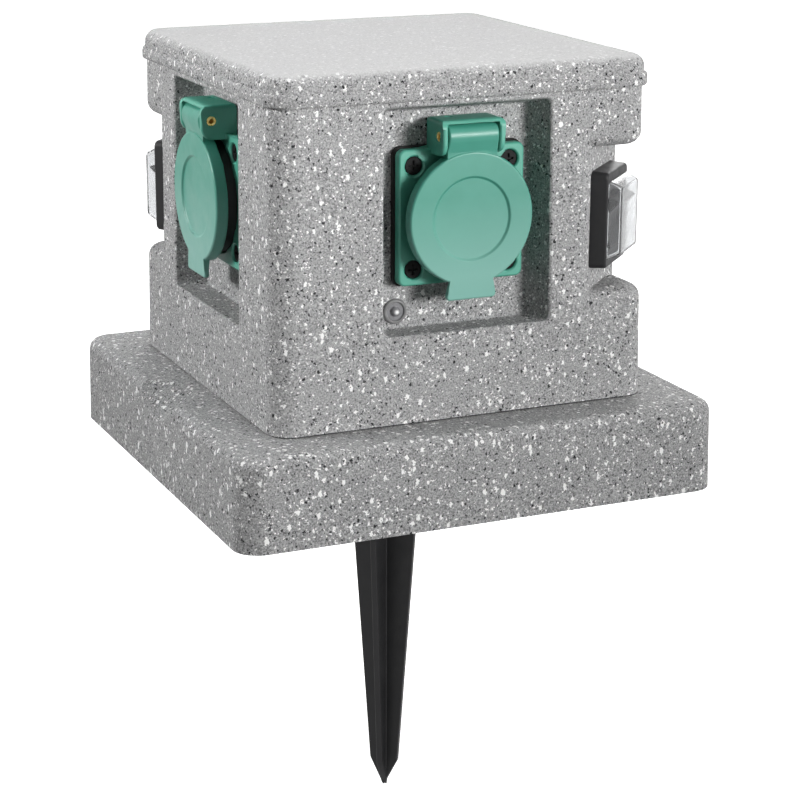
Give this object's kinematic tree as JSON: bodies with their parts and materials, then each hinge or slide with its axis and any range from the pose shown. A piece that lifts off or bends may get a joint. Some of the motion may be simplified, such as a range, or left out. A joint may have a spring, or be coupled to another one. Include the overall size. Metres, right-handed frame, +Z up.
{
  "type": "garden socket",
  "caption": "Stone-look garden power pillar on a square plinth and ground spike, with lidded outlets and rocker switches under clear boots.",
  "frame": {"origin": "centre of the plinth's underside, level with the ground it stands on", "axes": "+Z up along the pillar, -Y out of the front face with the outlet and the pilot lamp, -X out of the left face with the second outlet, +Y towards the cable gland at the rear"},
  "size_m": [0.194, 0.2115, 0.3135],
  "materials": {
    "stone_shell": "matt moulded shell with a dense granite speckle of white and dark grains",
    "black_plastic": "satin black moulded plastic",
    "black_rubber": "matt black rubber",
    "green_plastic": "satin sea-green moulded plastic",
    "brass": "turned and stamped brass",
    "steel": "zinc-plated steel",
    "clear_plastic": "clear soft moulding, slightly cloudy",
    "cream_plastic": "cream moulded plastic",
    "grey_plastic": "mid-grey moulded plastic"
  },
  "bodies": {
    "housing": {"base_plinth": "stone_shell", "base_plate": "black_plastic", "base_plate_screws": "steel", "foot_seal": "black_rubber", "body_housing": "stone_shell", "body_screws": "steel", "cap_seal": "black_rubber", "top_cap": "stone_shell", "cap_screws": "steel", "ground_spike": "black_plastic", "spike_screw": "steel", "gland_body": "black_plastic", "gland_locknut": "black_plastic", "gland_bush": "black_rubber", "gland_nut": "black_plastic", "terminal_block": "cream_plastic", "pilot_ring": "grey_plastic", "pilot_lens": "clear_plastic", "pilot_holder": "cream_plastic", "front_gasket": "black_rubber", "front_flange": "green_plastic", "front_flange_screws": "black_plastic", "front_insert": "black_plastic", "front_contacts": "brass", "front_earth_strap": "brass", "front_insert_back": "black_plastic", "front_hinge_pin": "brass", "front_lid_spring": "steel", "left_gasket": "black_rubber", "left_flange": "green_plastic", "left_flange_screws": "black_plastic", "left_insert": "black_plastic", "left_contacts": "brass", "left_earth_strap": "brass", "left_insert_back": "black_plastic", "left_hinge_pin": "brass", "left_lid_spring": "steel", "right_switch_frame": "black_plastic", "right_switch_boot": "clear_plastic", "right_switch_body": "black_plastic", "right_switch_tabs": "brass", "rear_switch_frame": "black_plastic", "rear_switch_boot": "clear_plastic", "rear_switch_body": "black_plastic", "rear_switch_tabs": "brass"},
    "front_lid": {"front_lid": "green_plastic", "front_lid_seal": "black_rubber"},
    "left_lid": {"left_lid": "green_plastic", "left_lid_seal": "black_rubber"},
    "right_rocker": {"right_rocker": "black_plastic"},
    "rear_rocker": {"rear_rocker": "black_plastic"}
  },
  "joints": [
    {"name": "front_lid_hinge", "type": "hinge", "parent": "housing", "child": "front_lid", "pos_m": [0, -0.0753, 0.1398], "axis": [-1, 0, 0], "range_deg": [0, 95], "stiffness_Nm_per_rad": 0.02, "springref_deg": -22.92},
    {"name": "left_lid_hinge", "type": "hinge", "parent": "housing", "child": "left_lid", "pos_m": [-0.0753, 0, 0.1398], "axis": [0, 1, 0], "range_deg": [0, 95], "stiffness_Nm_per_rad": 0.02, "springref_deg": -22.92},
    {"name": "right_rocker_hinge", "type": "hinge", "parent": "housing", "child": "right_rocker", "pos_m": [0.06034, -0.06034, 0.1034], "axis": [0.7071, 0.7071, 0], "range_deg": [-18, 0]},
    {"name": "rear_rocker_hinge", "type": "hinge", "parent": "housing", "child": "rear_rocker", "pos_m": [-0.06034, 0.06034, 0.1034], "axis": [-0.7071, -0.7071, 0], "range_deg": [-18, 0]}
  ]
}
